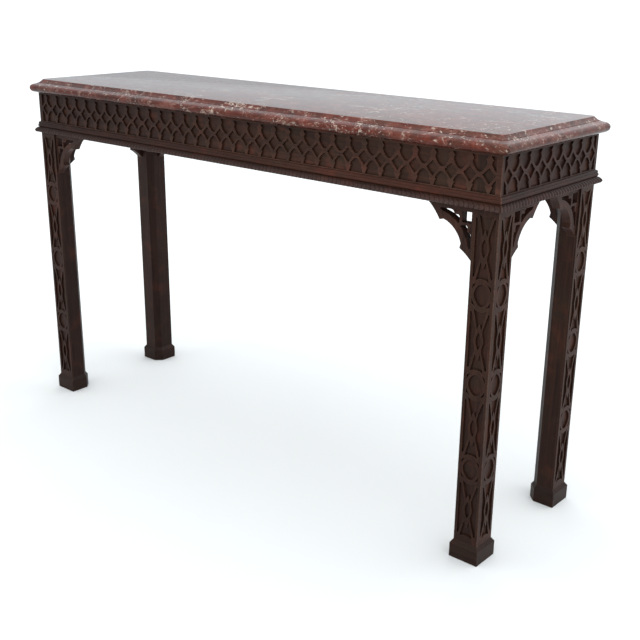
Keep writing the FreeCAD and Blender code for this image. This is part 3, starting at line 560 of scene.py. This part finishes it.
def marble_patches(recipe, place, colour):
    """Ragged grey and cream patches with a pink halo, and small flecks; also the patches' mask."""
    busy = marble_cut(recipe, place, *BUSY_CUT)
    ragged = recipe.noise(place, *PATCH_EDGE_NOISE)
    halo = recipe.times(recipe.span(ragged, *HALO_SPAN), busy, HALO_STRENGTH)
    colour = recipe.blend(halo, colour, PINK_MARBLE)
    patches = recipe.times(recipe.span(ragged, *PATCH_SPAN), busy)
    tone = recipe.blend(marble_cut(recipe, place, *CREAM_CUT), GREY_MARBLE, CREAM_MARBLE)
    colour = recipe.blend(recipe.times(patches, PATCH_STRENGTH), colour, tone)
    strength = recipe.calc("ADD", recipe.times(busy, FLECKS_GAINED), FLECKS_EVERYWHERE)
    flecks = recipe.times(marble_cut(recipe, place, *FLECK_CUT), strength)
    return recipe.blend(flecks, colour, CREAM_MARBLE), patches


def marble_grains(recipe, place, colour):
    """Cream cracks, white specks and dark grains; also the specks' mask."""
    cracks = recipe.times(marble_veins(recipe, place, *CRACK_VEINS),
                          marble_cut(recipe, place, *CRACK_CUT), CRACK_STRENGTH)
    colour = recipe.blend(cracks, colour, CREAM_MARBLE)
    grains = recipe.noise(place, *GRAIN_NOISE)
    specks = recipe.times(recipe.span(grains, *SPECK_SPAN),
                          marble_cut(recipe, place, *SPECK_CUT))
    colour = recipe.blend(specks, colour, WHITE_MARBLE)
    return recipe.blend(recipe.span(grains, *DARK_GRAIN_SPAN), colour, DARK_MARBLE), specks


def marble_wear_and_painted_light(recipe, colour):
    """Rubbed arrises, dirt and painted shade in the sunk line, and painted light and shade over
    the slab.
    """
    rubbed = recipe.span(recipe.closeness(MARBLE_WEAR_REACH, inside=True), *MARBLE_WEAR_SPAN)
    colour = recipe.blend(rubbed, colour, PINK_MARBLE)
    # Painted shade and dirt in the sunk line at the foot of the hollow.
    line = recipe.span(recipe.closeness(MARBLE_GRIME_AND_SHADE_REACH), *MARBLE_GRIME_AND_SHADE_SPAN)
    colour = recipe.blend(line, colour, MARBLE_GRIME_AND_SHADE)
    # Painted light and shade: darker underside, top and end faces, lighter towards the right end.
    painted_tones = [
        recipe.span(recipe.facing("z"), *UNDERSIDE_SPAN),
        recipe.span(recipe.coordinate("x"), -HALF_LENGTH, HALF_LENGTH, *MARBLE_ENDS),
        recipe.span(recipe.outward("x"), *END_FACE_SPAN),
        recipe.span(recipe.facing("z"), *TOP_SPAN),
    ]
    for tone in painted_tones:
        colour = recipe.dimmed(colour, tone)
    return colour


def red_marble(name):
    """Polished red-brown marble with wisps of pink, olive clouds and ragged cream patches."""
    recipe = Recipe(name)
    place = bent_place(recipe, recipe.stretched(MARBLE_DRAW), MARBLE_BENDS)
    body = recipe.noise(place, *BODY_NOISE)
    colour = marble_ground(recipe, place, body)
    colour, patches = marble_patches(recipe, place, colour)
    colour, specks = marble_grains(recipe, place, colour)
    colour = marble_wear_and_painted_light(recipe, colour)
    light_stone = recipe.calc("MAXIMUM", patches, specks)
    roughness = recipe.calc("ADD", recipe.span(body, *MARBLE_ROUGHNESS_SPAN),
                            recipe.times(light_stone, LIGHT_STONE_ROUGHNESS))
    return recipe.finish(Base_Color=colour, Roughness=roughness,
                         Specular_IOR_Level=MARBLE_SPECULAR,
                         Normal=recipe.bump(light_stone, *MARBLE_RELIEF))


# --- Metal ------------------------------------------------------------------------------------

# Metals: bright colour, dull colour and least roughness.
STEEL = ((0.42, 0.40, 0.38), (0.16, 0.13, 0.11), 0.3)
BRASS = ((0.60, 0.44, 0.20), (0.22, 0.15, 0.07), 0.25)
TARNISH_NOISE = (420, 4, 0.6)
TARNISH_SPAN = (0.42, 0.62)
DULLNESS_SPAN = (0.3, 0.7)
TARNISH_ROUGHNESS = 0.25            # gained from the brightest spots to the dullest
METAL_RELIEF = (0.05 * MM, 0.5)     # distance and strength


def metal(name, bright, dull, polish):
    """Bare metal, dulled in spots; polish is its least roughness."""
    recipe = Recipe(name)
    tarnish = recipe.noise(recipe.place, *TARNISH_NOISE)
    colour = recipe.blend(recipe.span(tarnish, *TARNISH_SPAN), bright, dull)
    roughness = recipe.span(tarnish, *DULLNESS_SPAN, polish, polish + TARNISH_ROUGHNESS)
    return recipe.finish(Base_Color=colour, Roughness=roughness, Metallic=1.0,
                         Normal=recipe.bump(tarnish, *METAL_RELIEF))


# --- Surfaces of the frame's own pieces -------------------------------------------------------

SIDE_RUNS = (("front", "front"), ("back", "front"), ("left", "end"), ("right", "end"))


def dress(node, material, edge):
    """Gives a node its material and soft edges; its own mesh stays as it is."""
    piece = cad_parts[node]
    piece.data.materials.clear()
    piece.data.materials.append(material)
    weld = piece.modifiers.new("weld", "WELD")
    weld.merge_threshold = WELD_DISTANCE
    bevel = piece.modifiers.new("soft_edges", "BEVEL")
    bevel.width = edge
    bevel.segments = EDGE_SEGMENTS
    bevel.limit_method = "ANGLE"
    bevel.angle_limit = EDGE_ANGLE
    bevel.use_clamp_overlap = True
    normals = piece.modifiers.new("even_normals", "WEIGHTED_NORMAL")
    normals.keep_sharp = True


def dress_all(woods, marble):
    """Each node takes the first finish whose kind its name begins with."""
    steel = metal("screw_steel", *STEEL)
    brass = metal("pin_brass", *BRASS)
    upright_timber = secondary_timber("timber_upright", "z")
    cross_timber = secondary_timber("timber_across", "y")
    finishes = [
        ("marble_top", marble, ARRIS_ROUND),
        ("leg_fret", woods["leg_fret"], FRET_EDGE),
        ("leg", woods["leg"], LEG_EDGE),
        ("foot", woods["foot"], FOOT_EDGE),
        ("bracket_pins", brass, METAL_EDGE),
        ("bracket", woods["bracket"], CARVED_EDGE),
        ("corner_block_screws", steel, METAL_EDGE),
        ("corner_block", upright_timber, RAIL_EDGE),
        ("cross_bearer", cross_timber, RAIL_EDGE),
    ]
    for kind, wood, edge in (("rail", "rail", RAIL_EDGE),
                             ("frieze_fret", "fret", FRET_EDGE),
                             ("bead_moulding", "bead", FRET_EDGE),
                             ("gadroon_moulding", "gadroon", FRET_EDGE)):
        for side, run in SIDE_RUNS:
            finishes.append((kind + "_" + side, woods[wood + "_" + run], edge))
    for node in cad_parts:
        finish = next(row for row in finishes if node.startswith(row[0]))
        dress(node, *finish[1:])


# --- New meshes -------------------------------------------------------------------------------

def ring_faces(points, size):
    """Faces between closed rings of points, one ring after another, with a cap at each end."""
    faces = [tuple(range(size))]
    for start in range(0, len(points) - size, size):
        for index in range(size):
            here, after = start + index, start + (index + 1) % size
            faces.append((here, after, after + size, here + size))
    faces.append(tuple(range(len(points) - size, len(points))))
    return faces


def add_piece(name, points, ring_size, material, sharp_angle, node):
    """A solid skin over rings of points, smooth up to a sharp edge, in the place of a node."""
    mesh = bpy.data.meshes.new(name)
    mesh.from_pydata(points, [], ring_faces(points, ring_size))
    work = bmesh.new()
    work.from_mesh(mesh)
    bmesh.ops.remove_doubles(work, verts=work.verts, dist=WELD_DISTANCE)
    bmesh.ops.recalc_face_normals(work, faces=work.faces)
    work.to_mesh(mesh)
    work.free()
    mesh.shade_smooth()
    mesh.set_sharp_from_angle(angle=sharp_angle)
    mesh.materials.append(material)
    piece = bpy.data.objects.new(name, mesh)
    bpy.context.scene.collection.objects.link(piece)
    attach(piece, "root")
    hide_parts(node)


# --- Marble slab ------------------------------------------------------------------------------

def arris_rows(top):
    rows = []
    for step in range(ARRIS_STEPS + 1):
        turn = math.radians(90 * step / ARRIS_STEPS)
        rows.append((ARRIS_INSET + ARRIS_ROUND * (1 - math.sin(turn)),
                     top - ARRIS_ROUND * (1 - math.cos(turn)), ARRIS_CORNER_RADIUS))
    return rows


def hollow_rows(top):
    rows = []
    for step in range(1, HOLLOW_STEPS + 1):
        fall = step / HOLLOW_STEPS
        inset = ARRIS_INSET - (ARRIS_INSET - SHOULDER_INSET) * fall ** HOLLOW_CURVE
        radius = ARRIS_CORNER_RADIUS + (NOSE_CORNER_RADIUS - ARRIS_CORNER_RADIUS) * fall
        rows.append((inset, top - HOLLOW_DEPTH * fall, radius))
    return rows


def quirk_rows(shoulder):
    lip_run, lip_drop = QUIRK_LIP
    return [
        (SHOULDER_INSET + QUIRK_BACK, shoulder - QUIRK_DEPTH, NOSE_CORNER_RADIUS),
        (SHOULDER_INSET - QUIRK_FRONT, shoulder - QUIRK_DEPTH, NOSE_CORNER_RADIUS),
        (SHOULDER_INSET - lip_run, shoulder - lip_drop, NOSE_CORNER_RADIUS),
    ]


def nose_rows(bottom, radius):
    rows = []
    for step in range(NOSE_STEPS + 1):
        turn = math.radians(90 - 180 * step / NOSE_STEPS)
        rows.append((radius * (1 - math.cos(turn)), bottom + radius * (1 + math.sin(turn)),
                     NOSE_CORNER_RADIUS))
    return rows


def rounded_ring(half_x, half_y, radius, z):
    ring = []
    for quarter, (side, end) in enumerate(((1, 1), (-1, 1), (-1, -1), (1, -1))):
        for step in range(CORNER_STEPS + 1):
            turn = math.radians(90 * (quarter + step / CORNER_STEPS))
            ring.append(Vector((side * (half_x - radius) + radius * math.cos(turn),
                                end * (half_y - radius) + radius * math.sin(turn), z)))
    return ring


def make_marble(material):
    """The slab, from rows of inset from the nose, height and corner radius, top to bottom."""
    low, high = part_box("marble_top")
    nose_radius = (high.z - low.z - HOLLOW_DEPTH - SHOULDER_DROP) / 2
    rows = arris_rows(high.z) + hollow_rows(high.z)
    rows += quirk_rows(high.z - HOLLOW_DEPTH) + nose_rows(low.z, nose_radius)
    points = []
    for inset, z, radius in rows:
        points += rounded_ring(high.x - inset, high.y - inset, radius, z)
    add_piece("marble_slab", points, 4 * (CORNER_STEPS + 1), material,
              MARBLE_SHARP_ANGLE, "marble_top")


# --- Gadrooned edge ---------------------------------------------------------------------------

def gadroon_profile():
    """Points (projection, height) from the underside round the fullest point to the quirk."""
    tip = Vector((GADROON_PROJECTION, RAIL_BOTTOM + GADROON_TIP_HEIGHT))
    centre = tip - Vector((GADROON_TIP_HEIGHT, 0))
    points = []
    for step in range(GADROON_TIP_STEPS + 1):
        turn = math.radians(90 * step / GADROON_TIP_STEPS)
        points.append(centre + GADROON_TIP_HEIGHT * Vector((math.sin(turn), -math.cos(turn))))
    chord = Vector((QUIRK_PROJECTION, QUIRK_HEIGHT)) - tip
    out = Vector((chord.y, -chord.x)).normalized()
    for step in range(1, GADROON_FACE_STEPS + 1):
        share = step / GADROON_FACE_STEPS
        swell = GADROON_SWELL * 4 * share * (1 - share)
        points.append(tip + chord * share + out * swell)
    return points


def lobe_cut(phase):
    """Depth of the carving, from 0 on the crest of a lobe to 1 in the grooves beside it."""
    across = abs(2 * ((phase + 0.5) % 1) - 1)
    return 1 - math.sqrt(max(0.0, 1 - across ** LOBE_FULLNESS))


def carving(share, lobes, height, rows_below, rows_above):
    """Depth cut at a height, at a share of the way from the middle of a side to its mitre."""
    lean = LOBE_LEAN * (height - RAIL_BOTTOM) / LOBE_PITCH
    lean = lean * min(1.0, (1 - share) / MITRE_REACH)
    rise_rows, fall_rows = LOBE_FADE_ROWS
    fade = min(1.0, rows_above / fall_rows, LOBE_UNDERSIDE + rows_below / rise_rows)
    return LOBE_DEPTH * lobe_cut(share * lobes + lean) * fade


def gadroon_edge(side, corner, along, inward, half_run, embed, material):
    """A row of carved lobes between two mitres, leaning towards the middle from both ends."""
    profile = gadroon_profile()
    last = len(profile) - 1
    columns = 2 * round((half_run + GADROON_PROJECTION) / COLUMN_STEP)
    lobes = round((half_run + GADROON_PROJECTION) / LOBE_PITCH)
    points = []
    for column in range(columns + 1):
        share = 2 * column / columns - 1
        back = corner + along * (half_run - embed) * share + inward * embed
        points.append(back + UP * RAIL_BOTTOM)
        for index, (out, height) in enumerate(profile):
            cut = carving(abs(share), lobes, height, index, last - index)
            points.append(corner + along * (half_run + out) * share - inward * (out - cut)
                          + UP * height)
        points.append(back + UP * QUIRK_HEIGHT)
    add_piece("gadroon_lobes_" + side, points, len(profile) + 2, material,
              GADROON_SHARP_ANGLE, "gadroon_moulding_" + side)


def make_gadroons(woods):
    x, y = Vector((1, 0, 0)), Vector((0, 1, 0))
    sides = [
        ("front", -y * HALF_DEPTH, x, y, HALF_LENGTH, FRET_THICKNESS, "front"),
        ("back", y * HALF_DEPTH, -x, -y, HALF_LENGTH, 0.0, "front"),
        ("right", x * HALF_LENGTH, y, -x, HALF_DEPTH, FRET_THICKNESS, "end"),
        ("left", -x * HALF_LENGTH, -y, x, HALF_DEPTH, FRET_THICKNESS, "end"),
    ]
    for side, corner, along, inward, half_run, embed, run in sides:
        gadroon_edge(side, corner, along, inward, half_run, embed, woods["gadroon_" + run])


# --- Studio -----------------------------------------------------------------------------------

def make_camera():
    ahead = Vector((-math.sin(CAMERA_YAW) * math.cos(CAMERA_PITCH),
                    math.cos(CAMERA_YAW) * math.cos(CAMERA_PITCH), -math.sin(CAMERA_PITCH)))
    level = Vector((math.cos(CAMERA_YAW), math.sin(CAMERA_YAW), 0))
    above = level.cross(ahead)
    across = math.cos(CAMERA_ROLL) * level + math.sin(CAMERA_ROLL) * above
    upright = -math.sin(CAMERA_ROLL) * level + math.cos(CAMERA_ROLL) * above
    data = bpy.data.cameras.new("camera")
    data.sensor_width = SENSOR_WIDTH
    data.sensor_fit = "HORIZONTAL"
    data.lens = CAMERA_FOCAL_PIXELS * SENSOR_WIDTH / PICTURE_PIXELS
    data.clip_end = 2 * FLOOR_HALF
    camera = bpy.data.objects.new("camera", data)
    bpy.context.scene.collection.objects.link(camera)
    turn = Matrix((across, upright, -ahead)).transposed()
    camera.matrix_world = Matrix.Translation(CAMERA_PLACE) @ turn.to_4x4()
    bpy.context.scene.camera = camera


def make_floor():
    half = FLOOR_HALF
    mesh = bpy.data.meshes.new("floor")
    mesh.from_pydata([(-half, -half, 0), (half, -half, 0), (half, half, 0), (-half, half, 0)],
                     [], [(0, 1, 2, 3)])
    floor = bpy.data.objects.new("floor", mesh)
    bpy.context.scene.collection.objects.link(floor)
    recipe = Recipe("floor_paper")
    mottle = recipe.noise(recipe.place, *FLOOR_MOTTLE_NOISE)
    paper = recipe.blend(mottle, FLOOR_TONE, tuple(FLOOR_MOTTLE * tone for tone in FLOOR_TONE))
    mesh.materials.append(recipe.finish(Base_Color=paper, Roughness=FLOOR_ROUGHNESS,
                                        Specular_IOR_Level=FLOOR_SPECULAR))


def make_light():
    """A soft white studio: brighter overhead than at eye level, and brighter on the right."""
    world = bpy.data.worlds.new("studio")
    world.use_nodes = True
    bpy.context.scene.world = world
    tree = world.node_tree
    direction = tree.nodes.new("ShaderNodeTexCoord").outputs["Generated"]
    split = tree.nodes.new("ShaderNodeSeparateXYZ")
    tree.links.new(direction, split.inputs["Vector"])

    def line(value, slope, start):
        made = tree.nodes.new("ShaderNodeMath")
        made.operation = "MULTIPLY_ADD"
        tree.links.new(value, made.inputs[0])
        made.inputs[1].default_value = slope
        if isinstance(start, bpy.types.NodeSocket):
            tree.links.new(start, made.inputs[2])
        else:
            made.inputs[2].default_value = start
        return made.outputs["Value"]

    sideways = line(split.outputs["X"], SKY_RIGHT, line(split.outputs["Y"], SKY_BACK, 1.0))
    strength = tree.nodes.new("ShaderNodeMath")
    strength.operation = "MULTIPLY"
    tree.links.new(line(split.outputs["Z"], SKY_RISE, SKY_LEVEL), strength.inputs[0])
    tree.links.new(sideways, strength.inputs[1])
    background = tree.nodes["Background"]
    tree.links.new(strength.outputs["Value"], background.inputs["Strength"])
    background.inputs["Color"].default_value = (*SKY_TONE, 1.0)
    bpy.context.scene.view_settings.view_transform = "Standard"


make_camera()
make_floor()
make_light()
woods, marble = make_woods(), red_marble("marble")
dress_all(woods, marble)
make_marble(marble)
make_gadroons(woods)
